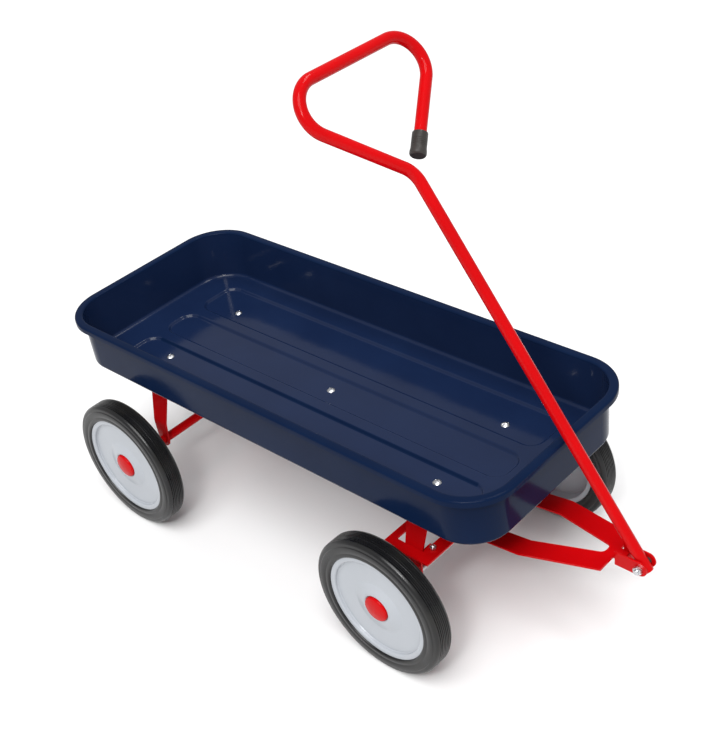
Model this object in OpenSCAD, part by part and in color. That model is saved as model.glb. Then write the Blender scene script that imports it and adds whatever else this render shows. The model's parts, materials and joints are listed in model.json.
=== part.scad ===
// Pull wagon: a pressed steel tray on four ten-inch wheels, with a steered front axle and a loop
// handle. +X is forward, +Y is the left side, and the ground is z = 0. The origin is on the ground
// below the middle of the whole wagon.

/* [Tray] */
// Length of the tray over its rim
tray_len = 990; // [980:5:1000]
// Width of the tray over its rim
tray_wid = 412; // [400:2:430]
// Height of the top of the rim above the ground
rim_z = 388; // [380:1:400]
// Height of the load floor above the ground
floor_z = 290; // [288:1:292]
// Thickness of the pressed steel sheet
sheet = 1.2; // [1:0.1:1.6]
// Width of the flat rim flange
rim_wid = 16; // [14:1:18]
// Depth of the lip that is turned down round the rim
lip_h = 11; // [8:1:14]
// Plan radius of the tray's corners over the rim
corner_r = 88; // [80:2:100]
// Lean of the walls from vertical, in degrees
wall_draft = 1; // [0.5:0.5:2]
// Depth of the three panels that are pressed into the floor
panel_depth = 4.5; // [3:0.5:5]

/* [Running gear] */
// Distance from the rear axle to the front axle
wheel_base = 632; // [600:2:640]
// Distance from the tray's middle forward to the kingpin
king_ahead = 298; // [292:1:302]
// Radius of the tyre, so half of ten inches
tyre_r = 127; // [120:1:130]
// Width of the tyre
tyre_w = 40; // [38:1:42]
// Distance from the wagon's middle to a wheel's outer face
wheel_out = 246; // [244:1:250]
// Diameter of both axles
axle_d = 12.7; // [12:0.1:13]
// Furthest turn of the front axle to each side while the handle is upright, in degrees
turn_max = 14; // [8:1:16]

/* [Steering yoke] */
// Distance from the kingpin forward to the handle's hinge
hinge_ahead = 331; // [327:1:334]
// Height of the handle's hinge above the ground
hinge_z = 216; // [212:1:218]
// Thickness of the yoke plate
yoke_t = 3.5; // [3:0.5:4]
// Rise of the yoke's arms towards the hinge, in degrees
yoke_rise = 7.2; // [6.5:0.1:7.5]

/* [Handle] */
// Diameter of the handle's steel tube
tube_d = 19; // [18:0.5:20]
// Wall of the handle's tube
tube_t = 1.6; // [1.2:0.1:2]
// Distance from the hinge to the middle of the grip bar
grip_reach = 850; // [800:10:900]
// Length of the straight grip bar
grip_len = 156; // [140:2:170]
// Bend radius of the tube
bend_r = 44; // [40:1:48]

/* [Hidden] */
$fn = 96;

red = [0.82, 0.02, 0.06];
navy = [0.13, 0.17, 0.30];
zinc = [0.72, 0.73, 0.74];
steel = [0.55, 0.56, 0.58];
white = [0.90, 0.91, 0.92];
rubber = [0.09, 0.09, 0.10];
nylon = [0.15, 0.15, 0.15];

eps = 0.01;
run_gap = 0.05;                       // radial clearance of a running fit
seat_gap = 0.1;                       // clearance between pieces of one body
turn_gap = 0.3;                       // clearance between pieces that turn past each other
bolt_r = 3;                           // 6 mm bolts
hinge_bolt_r = 4;                     // 8 mm bolt
rim_edge_r = 4;                       // rounding of the rim's outer edge

// Handle. It leans back just clear of the tray's rim at every steering angle.
tube_r = tube_d / 2;
rim_clear = 0.6;
lean_dx = hinge_ahead - (tray_len / 2 - rim_edge_r - king_ahead) / cos(turn_max);
lean_dz = rim_z - rim_edge_r - hinge_z;
lean_gap = (tube_r + rim_edge_r + rim_clear) / cos(turn_max);
handle_lean = atan2(lean_dx, lean_dz) - asin(lean_gap / norm([lean_dx, lean_dz]));

// Places along the wagon. The front end is the handle's foot, just ahead of the hinge ears.
ear_r = 13;
tail = 12;
reach_front = king_ahead + hinge_ahead
    + max(ear_r, tail * sin(handle_lean) + tube_r * cos(handle_lean));
tray_x = (tray_len / 2 - reach_front) / 2;
king_x = tray_x + king_ahead;
rear_x = king_x - wheel_base;
hinge_x = king_x + hinge_ahead;

// Tray section: one path through the middle of the sheet, from the lip to the floor.
floor_fillet = 7;
panel_z = floor_z - panel_depth;
under_z = panel_z - sheet;            // underside of the pressed panels
panel_len = 813;
panel_back = 11;                      // how far the panels lie behind the middle of the tray
panel_r = 28;
side_panel = [57, 150];               // from the middle of the tray, to each side
mid_panel = 36;
floor_bolt_y = 88;
bolster_bolt_ahead = 15;

function arc(c, r, a0, a1, n = 8) =
    [for (i = [0:n]) c + r * [cos(a0 + (a1 - a0) * i / n), sin(a0 + (a1 - a0) * i / n)]];

function unit(v) = v / norm(v);
function side_of(v) = [-v[1], v[0]];

// Corners of a strip of thickness t that follows a path, square at both ends.
function strip_side(path, t) = [for (i = [0:len(path) - 1])
    let (before = i > 0 ? unit(path[i] - path[i - 1]) : unit(path[1] - path[0]),
         after = i < len(path) - 1 ? unit(path[i + 1] - path[i]) : before,
         along = unit(before + after))
    path[i] + side_of(along) * t / 2 / (along * before)];
function reversed(list) = [for (i = [len(list) - 1:-1:0]) list[i]];
function strip(path, t) = concat(strip_side(path, t), reversed(strip_side(path, -t)));

// Places on the section are [distance in from the rim's edge, height].
top_bend = arc([rim_wid - rim_edge_r, rim_z - rim_edge_r], rim_edge_r - sheet / 2, 90, wall_draft);
wall_top = top_bend[len(top_bend) - 1];
fillet_mid = floor_fillet + sheet / 2;
fillet_z = floor_z - sheet / 2 + fillet_mid;
wall_foot_z = fillet_z - fillet_mid * sin(wall_draft);
wall_foot = wall_top[0] + (wall_top[1] - wall_foot_z) * tan(wall_draft);
floor_inset = wall_foot + fillet_mid * cos(wall_draft);
wall_path = concat(
    [[sheet / 2, rim_z - lip_h]],
    arc([rim_edge_r, rim_z - rim_edge_r], rim_edge_r - sheet / 2, 180, 90),
    top_bend,
    arc([floor_inset, fillet_z], fillet_mid, 180 + wall_draft, 270),
    [[floor_inset + eps, floor_z - sheet / 2]]);

module rounded_plate(len_x, len_y, r, h) {
    linear_extrude(height = h) union() {
        square([len_x - 2 * r, len_y], center = true);
        square([len_x, len_y - 2 * r], center = true);
        for (x = [-1, 1], y = [-1, 1])
            translate([x * (len_x / 2 - r), y * (len_y / 2 - r)]) circle(r = r);
    }
}

module wall_side(length) {
    rotate([90, 0, 90])
        linear_extrude(height = length, center = true)
            polygon([for (p = strip(wall_path, sheet)) [corner_r - p[0], p[1]]]);
}

module wall_ring() {
    corner_x = tray_len / 2 - corner_r;
    corner_y = tray_wid / 2 - corner_r;
    for (turn = [0, 180]) rotate([0, 0, turn]) {
        translate([0, corner_y, 0]) wall_side(2 * corner_x);
        translate([corner_x, 0, 0]) rotate([0, 0, -90]) wall_side(2 * corner_y);
    }
    for (sx = [-1, 1], sy = [-1, 1])
        translate([sx * corner_x, sy * corner_y, 0])
            rotate([0, 0, sx > 0 ? (sy > 0 ? 0 : -90) : (sy > 0 ? 90 : 180)])
                rotate_extrude(angle = 90)
                    polygon([for (p = strip(wall_path, sheet)) [corner_r - p[0], p[1]]]);
}

module panels(inset, h) {
    mid = (side_panel[0] + side_panel[1]) / 2;
    wide = side_panel[1] - side_panel[0];
    translate([-panel_back, 0, 0])
        rounded_plate(panel_len - 2 * inset, 2 * (mid_panel - inset), panel_r - inset, h);
    for (side = [-1, 1]) translate([-panel_back, side * mid, 0])
        rounded_plate(panel_len - 2 * inset, wide - 2 * inset, panel_r - inset, h);
}

// The five bolts through the floor: two at each end and one in the middle.
rear_bolts = [for (side = [-1, 1]) [rear_x, side * floor_bolt_y]];
front_bolts = [for (side = [-1, 1]) [king_x + bolster_bolt_ahead, side * floor_bolt_y]];
centre_bolt = [[tray_x, 0]];

module tray() {
    color(navy) difference() {
        translate([tray_x, 0, 0]) union() {
            wall_ring();
            translate([0, 0, floor_z - sheet])
                rounded_plate(tray_len - 2 * floor_inset, tray_wid - 2 * floor_inset,
                              corner_r - floor_inset, sheet);
            translate([0, 0, under_z]) panels(0, floor_z - under_z);
        }
        translate([tray_x, 0, panel_z]) panels(sheet, 20);
        for (p = concat(rear_bolts, front_bolts))
            translate([p[0], p[1], under_z - 1]) cylinder(r = bolt_r + 0.3, h = 20);
        // The middle hole is a looser fit than the other four.
        translate([tray_x, 0, under_z - 1]) cylinder(r = bolt_r + 0.5, h = 20);
    }
}

// Fasteners
module hex_nut(r_hole, across, h) {
    difference() {
        cylinder(d = across / cos(30), h = h, $fn = 6);
        translate([0, 0, -1]) cylinder(r = r_hole, h = h + 2);
    }
}

module floor_bolt(grip) {
    head_r = 7.5;
    head_h = 3.4;
    ball_r = (head_r * head_r + head_h * head_h) / (2 * head_h);
    intersection() {
        translate([0, 0, head_h - ball_r]) sphere(r = ball_r);
        cylinder(r = head_r, h = head_h);
    }
    translate([0, 0, -grip - 8]) cylinder(r = bolt_r, h = grip + 8 + eps);
}

module floor_bolts(places, grip) {
    color(zinc) for (p = places) translate([p[0], p[1], panel_z]) floor_bolt(sheet + grip);
}

module floor_nuts(places, grip) {
    color(zinc) for (p = places)
        translate([p[0], p[1], under_z - grip - 5]) hex_nut(bolt_r + seat_gap, 10, 5);
}

// Undercarriage. Both axle brackets are one strap, bent down at each end into a leg.
strap_w = 42;
strap_t = 3.5;
leg_top_y = 118;
leg_foot_y = 147;
leg_knee_z = 165;
leg_taper_z = 240;                    // the legs narrow from here down to the foot
foot_r = 14;
axle_r = axle_d / 2;
axle_tube_r = 8.5;
wheel_in = wheel_out - tyre_w;
hub_in = wheel_out - 44;
hub_out = wheel_out - 8;
gear_end = hub_in - 2 - turn_gap;     // where the axle tube and spacers end

// Middle of a bracket strap in [y, z], from the middle of its top down one leg.
function leg_path(top_z) = let (y = leg_foot_y - strap_t / 2, z = top_z - strap_t / 2)
    [[0, z], [leg_top_y - 6, z], [leg_top_y - 1.5, z - 1.8], [leg_top_y + 1, z - 6],
     [y - 0.8, leg_knee_z + 6], [y, leg_knee_z], [y, tyre_r - foot_r - 1]];

module bracket_strap(top_z) {
    half = leg_path(top_z);
    both = concat([for (p = reversed(half)) [-p[0], p[1]]], [for (i = [1:len(half) - 1]) half[i]]);
    intersection() {
        rotate([90, 0, 90]) linear_extrude(height = strap_w, center = true)
            polygon(strip(both, strap_t));
        union() {
            rotate([90, 0, 0]) linear_extrude(height = 400, center = true)
                polygon([[-strap_w / 2 - 1, 400], [-strap_w / 2 - 1, leg_taper_z],
                         [-foot_r, tyre_r], [foot_r, tyre_r],
                         [strap_w / 2 + 1, leg_taper_z], [strap_w / 2 + 1, 400]]);
            translate([0, 0, tyre_r]) along_y(foot_r, 400);
        }
    }
}

module along_y(r, h) {
    rotate([90, 0, 0]) cylinder(r = r, h = h, center = true);
}

module rear_bracket() {
    color(red) difference() {
        translate([rear_x, 0, 0]) bracket_strap(under_z);
        translate([rear_x, 0, tyre_r]) along_y(axle_tube_r + seat_gap, 400);
        for (p = rear_bolts) translate([p[0], p[1], under_z - 10])
            cylinder(r = bolt_r + 0.3, h = 20);
    }
}

module rear_axle_tube() {
    color(red) translate([rear_x, 0, tyre_r]) difference() {
        along_y(axle_tube_r, 2 * gear_end);
        along_y(axle_r + seat_gap, 500);
    }
}

module axle(x) {
    push_nut_out = hub_out + 5;
    color(steel) translate([x, 0, tyre_r]) along_y(axle_r, 2 * push_nut_out);
}

module on_both_ends(x) {
    for (side = [-1, 1])
        translate([x, 0, tyre_r]) rotate([-90 * side, 0, 0]) children();
}

module axle_washers(x) {
    color(zinc) on_both_ends(x) translate([0, 0, gear_end + seat_gap]) difference() {
        cylinder(r = 12, h = 2 - 2 * seat_gap);
        translate([0, 0, -1]) cylinder(r = axle_r + 0.2, h = 4);
    }
}

module push_nuts(x) {
    color(zinc) on_both_ends(x) translate([0, 0, hub_out + turn_gap]) difference() {
        cylinder(r = 10, h = 2.6);
        translate([0, 0, -1]) cylinder(r = axle_r + 0.02, h = 5);
    }
}

// Fixed bolster: a hat section that leaves room for the kingpin's head below the floor.
bolster_w = 70;
bolster_t = 3;
web_drop = 17.8;
web_y = 64;
flange_y = [80, 122];
bolster_z = under_z - web_drop;       // top of the web
bearing_t = 3;
pivot_z = bolster_z - bolster_t - bearing_t;   // top of the front bracket

module front_bolster() {
    z_top = under_z - bolster_t / 2;
    z_web = bolster_z - bolster_t / 2;
    half = [[0, z_web], [web_y, z_web], [flange_y[0], z_top], [flange_y[1], z_top]];
    both = concat([for (p = reversed(half)) [-p[0], p[1]]], [for (i = [1:3]) half[i]]);
    color(red) translate([king_x, 0, 0]) difference() {
        rotate([90, 0, 90]) linear_extrude(height = bolster_w, center = true)
            polygon(strip(both, bolster_t));
        translate([0, 0, bolster_z - 10]) cylinder(r = bolt_head_hole, h = 20);
        for (side = [-1, 1])
            translate([bolster_bolt_ahead, side * floor_bolt_y, under_z - 10])
                cylinder(r = bolt_r + 0.3, h = 20);
    }
}

module centre_brace() {
    brace_w = 38;
    from_x = rear_x + strap_w / 2 + seat_gap;
    to_x = king_x - bolster_w / 2 - seat_gap;
    color(red) difference() {
        translate([from_x, -brace_w / 2, under_z - bolster_t])
            cube([to_x - from_x, brace_w, bolster_t]);
        translate([tray_x, 0, under_z - 10]) cylinder(r = bolt_r + 0.3, h = 20);
    }
}

// Kingpin: a bolt with its head inside the bolster and a lock nut below the front bracket.
king_r = 6;
bolt_head_hole = king_r + 0.2;

module kingpin_bolt() {
    shank = bolster_t + bearing_t + strap_t + 3 + 12;
    color(zinc) translate([king_x, 0, bolster_z]) union() {
        cylinder(d = 19 / cos(30), h = 7, $fn = 6);
        translate([0, 0, -shank]) cylinder(r = king_r, h = shank + 1);
    }
}

module ring(r_in, r_out, h) {
    difference() {
        cylinder(r = r_out, h = h);
        translate([0, 0, -1]) cylinder(r = r_in, h = h + 2);
    }
}

module turntable_washer() {
    color(nylon) translate([king_x, 0, pivot_z + turn_gap])
        ring(king_r + 0.2, 34, bearing_t - turn_gap);
}

module kingpin_washer() {
    color(zinc) translate([king_x, 0, pivot_z - strap_t - 3]) ring(king_r + 0.2, 16, 3 - turn_gap);
}

module kingpin_nut() {
    color(zinc) translate([king_x, 0, pivot_z - strap_t - 3 - 10])
        hex_nut(king_r + 0.02, 19, 10);
}

// Steered front axle
yoke_z = 185;                         // top of the yoke's level rear frame
frame_x = [-48, 46];
frame_y = 164;
window_x = [-34, strap_w / 2 + 0.8];
window_y = 144.5;
lug_x = [15, 41];
lug_y = [120, 142];
yoke_bolts_at = [for (side = [-1, 1]) [30, side * 130]];

module front_bracket() {
    color(red) translate([king_x, 0, 0]) difference() {
        union() {
            bracket_strap(pivot_z);
            for (side = [-1, 1]) scale([1, side, 1])
                translate([lug_x[0], lug_y[0], yoke_z - yoke_t - 3.5])
                    cube([lug_x[1] - lug_x[0], lug_y[1] - lug_y[0], 3.5]);
        }
        translate([0, 0, tyre_r]) along_y(axle_r + run_gap, 400);
        translate([0, 0, pivot_z - 10]) cylinder(r = king_r + run_gap, h = 20);
        for (p = yoke_bolts_at) translate([p[0], p[1], yoke_z - 20])
            cylinder(r = bolt_r + 0.2, h = 20);
    }
}

module front_axle_spacers() {
    start = leg_foot_y + seat_gap;
    color(steel) on_both_ends(king_x) translate([0, 0, start])
        ring(axle_r + seat_gap, 10, gear_end - start);
}

// Yoke plate: a level frame round the bracket's legs, and two arms that rise and meet at the nose.
arm_kink = 109;
arm_end = 241;
nose_end = 258;
arm_out = [72, 74, 45];
arm_in = [38, 38, 11];
apex = 224;
apex_r = 9;
nose_y = 11;

module steering_yoke() {
    color(red) translate([king_x, 0, yoke_z - yoke_t]) difference() {
        union() {
            linear_extrude(height = yoke_t) difference() {
                translate([frame_x[0], -frame_y]) square([frame_x[1] - frame_x[0], 2 * frame_y]);
                translate([window_x[0], -window_y])
                    square([window_x[1] - window_x[0], 2 * window_y]);
            }
            translate([frame_x[1], 0, 0]) rotate([0, -yoke_rise, 0])
                linear_extrude(height = yoke_t) difference() {
                    polygon(concat(
                        [[-3, arm_out[0]], [arm_kink, arm_out[1]], [arm_end, arm_out[2]],
                         [arm_end, nose_y], [nose_end, nose_y]],
                        [[nose_end, -nose_y], [arm_end, -nose_y], [arm_end, -arm_out[2]],
                         [arm_kink, -arm_out[1]], [-3, -arm_out[0]]]));
                    polygon(concat(
                        [[1, -arm_in[0]], [arm_kink, -arm_in[1]]],
                        arc([apex - apex_r, -arm_in[2] + apex_r], apex_r, -78, 0, 4),
                        arc([apex - apex_r, arm_in[2] - apex_r], apex_r, 0, 78, 4),
                        [[arm_kink, arm_in[1]], [1, arm_in[0]]]));
                }
        }
        for (p = yoke_bolts_at) translate([p[0], p[1], -5]) cylinder(r = bolt_r + 0.2, h = 20);
    }
}

module yoke_bolts() {
    grip = yoke_t + 3.5;
    color(zinc) for (p = yoke_bolts_at)
        translate([king_x + p[0], p[1], yoke_z - grip]) union() {
            translate([0, 0, -4]) cylinder(d = 10 / cos(30), h = 4, $fn = 6);
            translate([0, 0, -1]) cylinder(r = bolt_r, h = grip + 9);
        }
}

module yoke_nuts() {
    color(zinc) for (p = yoke_bolts_at)
        translate([king_x + p[0], p[1], yoke_z]) hex_nut(bolt_r + 0.02, 10, 5);
}

// Hinge
ear_in = 11;
ear_t = 3;
ear_back = 289;

module hinge_ears() {
    color(red) for (side = [-1, 1])
        translate([king_x, side * (ear_in + ear_t / 2), hinge_z]) rotate([90, 0, 0])
            linear_extrude(height = ear_t, center = true) difference() {
                union() {
                    translate([ear_back, -ear_r]) square([hinge_ahead - ear_back, 2 * ear_r]);
                    translate([hinge_ahead, 0]) circle(r = ear_r);
                }
                translate([hinge_ahead, 0]) circle(r = hinge_bolt_r + run_gap);
            }
}

module hinge_bolt() {
    ear_out = ear_in + ear_t;
    color(zinc) translate([hinge_x, 0, hinge_z]) rotate([90, 0, 0]) union() {
        translate([0, 0, -ear_out - 5.5]) cylinder(d = 13 / cos(30), h = 5.5, $fn = 6);
        translate([0, 0, -ear_out - 1]) cylinder(r = hinge_bolt_r, h = 2 * ear_out + 10.5);
    }
}

module hinge_nut() {
    color(zinc) translate([hinge_x, -(ear_in + ear_t), hinge_z]) rotate([90, 0, 0])
        hex_nut(hinge_bolt_r + 0.02, 13, 6.5);
}

// Handle
bend_thin = 0.03;                     // the wall's thinning in a bend
bend_lap = 0.2;                       // how far a straight length runs into a bend
leg_turn = 45;
corner_turn = 180 - leg_turn;
leg_rise = grip_reach - bend_r * (1 + sin(leg_turn));
first_bend = grip_reach - 201;
leg_run = (leg_rise - first_bend - bend_r * sin(leg_turn)) / cos(leg_turn);
cap_len = 37;
cap_t = 2.4;
cap_floor = 2.5;
cap_flare = 0.8;                      // the closed end is a little wider
// Distance from the rod's middle to the middle of the cap's closed end
cap_clear = 20;
first_shift = bend_r * (1 - cos(leg_turn));
bend_out = first_shift + leg_run * sin(leg_turn);
corner_x = bend_out - bend_r * cos(leg_turn);
far_corner_out = grip_len - corner_x + bend_r * cos(leg_turn);
last_run = (far_corner_out - cap_clear) / sin(leg_turn) - cap_floor - seat_gap;

// Each step is a straight length and then a bend towards -Y (a negative one is towards +Y).
handle_steps = [[tail + first_bend, leg_turn], [leg_run, -corner_turn],
                [grip_len, -corner_turn], [last_run, 0]];

module elbow(turn) {
    side = turn > 0 ? 1 : -1;
    translate([0, -side * bend_r, 0]) rotate([0, 90, 0]) rotate([0, 0, side * 90])
        rotate([0, 0, side > 0 ? 0 : turn])
            rotate_extrude(angle = abs(turn)) translate([bend_r, 0]) difference() {
                circle(r = tube_r - bend_thin);
                circle(r = tube_r - tube_t + bend_thin);
            }
}

module tube_run(k = 0) {
    run = handle_steps[k][0];
    turn = handle_steps[k][1];
    side = turn > 0 ? 1 : -1;
    from = k == 0 ? 0 : -bend_lap;
    to = turn == 0 ? run : run + bend_lap;
    translate([0, 0, from]) ring(tube_r - tube_t, tube_r, to - from);
    if (turn != 0) translate([0, 0, run]) {
        elbow(turn);
        translate([0, -side * bend_r * (1 - cos(turn)), bend_r * sin(abs(turn))])
            rotate([turn, 0, 0]) tube_run(k + 1);
    }
}

module in_handle() {
    translate([hinge_x, 0, hinge_z]) rotate([0, -handle_lean, 0]) children();
}

module handle_tube() {
    color(red) in_handle() difference() {
        translate([0, 0, -tail]) tube_run();
        along_y(bush_r + seat_gap, 60);
    }
}

// The tube's free end, from the grip bar's far corner back towards the rod
module at_free_end() {
    translate([0, far_corner_out, leg_rise]) rotate([180 - leg_turn, 0, 0])
        translate([0, 0, last_run]) children();
}

module handle_end_cap() {
    bore = tube_r + run_gap;
    wide = tube_r + cap_t;
    foot = cap_floor + seat_gap;
    color(nylon) in_handle() at_free_end() rotate_extrude() polygon(concat(
        [[0, seat_gap], [bore, seat_gap], [bore, foot - cap_len], [wide, foot - cap_len],
         [wide, -11], [wide + 0.3, -7.5], [wide + cap_flare, -5]],
        arc([wide + cap_flare - 4, foot - 4], 4, 0, 90, 5),
        [[0, foot]]));
}

bush_r = 6.5;

module hinge_bush() {
    color(nylon) translate([hinge_x, 0, hinge_z]) difference() {
        along_y(bush_r, 2 * (ear_in - turn_gap));
        along_y(hinge_bolt_r + run_gap, 60);
    }
}

// Wheels. Places on a section are [radius, distance out from the wheel's middle plane].
disc_t = 1.5;
seat_r = 88.9;
flange_r = 96.9;
flange_w = 16;
cap_r = 23;
groove = [2.2, 2.6];                  // width and depth of a tread groove

function tyre_half() = concat(
    [[seat_r + disc_t / 2 + seat_gap, 0],
     [seat_r + disc_t / 2 + seat_gap, flange_w - disc_t / 2 - 1.8],
     [seat_r + disc_t / 2 + 2, flange_w - disc_t / 2 - seat_gap],
     [flange_r + 0.6, flange_w - disc_t / 2 - seat_gap], [flange_r + 0.6, flange_w + 2]],
    arc([flange_r + 3.6, tyre_w / 2 - 3], 3, 180, 90, 4),
    [[tyre_r - 10.5, tyre_w / 2], [tyre_r - 9, tyre_w / 2 - 1.6]],
    arc([tyre_r - 8, tyre_w / 2 - 9], 8, 68, 8, 6),
    [[tyre_r, 10]]);

module tyre() {
    half = tyre_half();
    color(rubber) rotate_extrude() difference() {
        polygon(concat(half, [for (p = reversed(half)) [p[0], -p[1]]]));
        for (w = [-9, -3, 3, 9])
            translate([tyre_r - groove[1], w - groove[0] / 2]) square([5, groove[0]]);
    }
}

// One pressed half of the rim, from the centre out to the flange that holds the tyre
function rim_half(centre, web) = concat(
    centre,
    [[50, web], [seat_r - 3, web]],
    arc([seat_r - 3, web + 3], 3, -60, 0, 3),
    [[seat_r, flange_w - 2]],
    arc([seat_r + 2, flange_w - 2], 2, 150, 90, 2),
    [[flange_r, flange_w]]);
hub_r = 13;
disc_centre = [[hub_r + seat_gap, 5], [22, 5], [23.7, 6.7], [23.7, 13.6], [25.2, 15.4],
               [27, 15.4], [30, 14.8], [46, 10.5]];
back_centre = [[hub_r + seat_gap, 9], [28, 9], [31, 8], [43, -5], [46, -7.6]];
disc_web = 10;                        // the outer half is a shallow dish
back_web = disc_t + seat_gap - disc_web;   // and the inner half reaches out behind it

module wheel_disc() {
    color(white) rotate_extrude() polygon(strip(rim_half(disc_centre, disc_web), disc_t));
}

module wheel_back() {
    color(white) mirror([0, 0, 1]) rotate_extrude()
        polygon(strip(rim_half(back_centre, back_web), disc_t));
}

mid_out = wheel_out - tyre_w / 2;     // the wheel's middle plane

module hub() {
    color(steel) translate([0, 0, hub_in - mid_out])
        ring(axle_r + run_gap, hub_r, hub_out - hub_in);
}

module hub_cap() {
    skirt_r = cap_r - 0.8;
    dome = concat([[skirt_r, 7.5], [skirt_r, 16]],
                  arc([skirt_r - 3.2, 16], 3.2, 25, 75, 3),
                  [[12, 20.6], [6, 21.2], [0, 21.4]]);
    color(red) rotate_extrude() intersection() {
        polygon(strip(dome, 1.2));
        square([40, 40]);
    }
}

module at_wheel(x, side) {
    translate([x, side * mid_out, tyre_r]) rotate([-90 * side, 0, 0]) children();
}

tray();
rear_bracket();
rear_axle_tube();
axle(rear_x);  // rear_axle
centre_brace();
front_bolster();
floor_bolts(rear_bolts, strap_t);  // rear_tray_bolts
floor_nuts(rear_bolts, strap_t);  // rear_tray_nuts
floor_bolts(front_bolts, bolster_t);  // front_tray_bolts
floor_nuts(front_bolts, bolster_t);  // front_tray_nuts
floor_bolts(centre_bolt, bolster_t);  // centre_tray_bolt
floor_nuts(centre_bolt, bolster_t);  // centre_tray_nut
axle_washers(rear_x);  // rear_axle_washers
push_nuts(rear_x);  // rear_axle_push_nuts
turntable_washer();
front_bracket();
axle(king_x);  // front_axle
front_axle_spacers();
axle_washers(king_x);  // front_axle_washers
push_nuts(king_x);  // front_axle_push_nuts
kingpin_bolt();
kingpin_washer();
kingpin_nut();
steering_yoke();
hinge_ears();
yoke_bolts();
yoke_nuts();
hinge_bolt();
hinge_nut();
handle_tube();
handle_end_cap();
hinge_bush();

at_wheel(rear_x, 1) tyre();  // tyre_rear_left
at_wheel(rear_x, 1) wheel_disc();  // wheel_disc_rear_left
at_wheel(rear_x, 1) wheel_back();  // wheel_back_rear_left
at_wheel(rear_x, 1) hub();  // hub_rear_left
at_wheel(rear_x, 1) hub_cap();  // hub_cap_rear_left

at_wheel(rear_x, -1) tyre();  // tyre_rear_right
at_wheel(rear_x, -1) wheel_disc();  // wheel_disc_rear_right
at_wheel(rear_x, -1) wheel_back();  // wheel_back_rear_right
at_wheel(rear_x, -1) hub();  // hub_rear_right
at_wheel(rear_x, -1) hub_cap();  // hub_cap_rear_right

at_wheel(king_x, 1) tyre();  // tyre_front_left
at_wheel(king_x, 1) wheel_disc();  // wheel_disc_front_left
at_wheel(king_x, 1) wheel_back();  // wheel_back_front_left
at_wheel(king_x, 1) hub();  // hub_front_left
at_wheel(king_x, 1) hub_cap();  // hub_cap_front_left

at_wheel(king_x, -1) tyre();  // tyre_front_right
at_wheel(king_x, -1) wheel_disc();  // wheel_disc_front_right
at_wheel(king_x, -1) wheel_back();  // wheel_back_front_right
at_wheel(king_x, -1) hub();  // hub_front_right
at_wheel(king_x, -1) hub_cap();  // hub_cap_front_right
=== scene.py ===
"""Looks for the pull wagon: a pressed tray, disc wheels, a steered axle and a loop handle."""

import json
import math

import bmesh
import bpy
from mathutils import Matrix, Vector
from mathutils.geometry import tessellate_polygon


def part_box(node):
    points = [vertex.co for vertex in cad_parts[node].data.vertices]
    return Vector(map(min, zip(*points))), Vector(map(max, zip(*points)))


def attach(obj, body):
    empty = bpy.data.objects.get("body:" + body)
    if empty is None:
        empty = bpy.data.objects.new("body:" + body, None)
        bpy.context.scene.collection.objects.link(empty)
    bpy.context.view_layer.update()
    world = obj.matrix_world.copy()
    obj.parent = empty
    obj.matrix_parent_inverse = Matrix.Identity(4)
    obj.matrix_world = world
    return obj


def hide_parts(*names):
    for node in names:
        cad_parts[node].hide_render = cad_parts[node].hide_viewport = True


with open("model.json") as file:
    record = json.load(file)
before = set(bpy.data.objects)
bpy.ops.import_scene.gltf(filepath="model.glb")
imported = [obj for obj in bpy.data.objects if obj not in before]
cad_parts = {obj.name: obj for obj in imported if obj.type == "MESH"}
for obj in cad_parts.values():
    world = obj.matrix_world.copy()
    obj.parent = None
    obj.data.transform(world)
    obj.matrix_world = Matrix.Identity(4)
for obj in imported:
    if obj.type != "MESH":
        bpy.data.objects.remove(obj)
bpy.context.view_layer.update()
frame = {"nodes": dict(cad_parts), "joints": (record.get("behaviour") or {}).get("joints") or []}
SCENE = bpy.context.scene
MM = 0.001
ENDS = ("rear_left", "rear_right", "front_left", "front_right")


# ---------------------------------------------------------------- places, all from the frame

def centre(node):
    low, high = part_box(node)
    return (low + high) / 2


TRAY_LO, TRAY_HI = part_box("tray")
TRAY_X = (TRAY_LO.x + TRAY_HI.x) / 2 / MM
TRAY_LEN = (TRAY_HI.x - TRAY_LO.x) / MM
TRAY_WID = (TRAY_HI.y - TRAY_LO.y) / MM
RIM_Z = TRAY_HI.z / MM
UNDER_Z = TRAY_LO.z / MM                # underside of the pressed panels
WHEEL = {end: centre("tyre_" + end) / MM for end in ENDS}
KING_X = centre("kingpin_bolt").x / MM
REAR_X = centre("rear_axle").x / MM
JOINTS = {j["name"]: j for j in frame["joints"]}
HINGE = Vector(JOINTS["handle_fold"]["pos_m"]) / MM


# ---------------------------------------------------------------- mesh helpers, in millimetres

def finish_mesh(obj, body, slot, material, replaced=(), sharp=32.0, weighted=False):
    """Smooth shading with sharp edges past an angle, then the material, parenting to its body's
    empty, and hiding the CAD parts it replaces.
    """
    mesh = obj.data
    bm = bmesh.new()
    bm.from_mesh(mesh)
    bmesh.ops.recalc_face_normals(bm, faces=bm.faces)
    limit = math.radians(sharp)
    for face in bm.faces:
        face.smooth = True
    for edge in bm.edges:
        edge.smooth = len(edge.link_faces) == 2 and edge.calc_face_angle(0) < limit
    bm.to_mesh(mesh)
    bm.free()
    if weighted:
        normals = obj.modifiers.new("normals", "WEIGHTED_NORMAL")
        normals.keep_sharp = True
    mesh.materials.clear()
    mesh.materials.append(material)
    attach(obj, body)
    if replaced:
        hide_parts(*replaced)
    return obj


def new_object(name, verts, faces):
    mesh = bpy.data.meshes.new(name)
    mesh.from_pydata([tuple(Vector(v) * MM) for v in verts], [], faces)
    mesh.update()
    obj = bpy.data.objects.new(name, mesh)
    SCENE.collection.objects.link(obj)
    return obj


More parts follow.
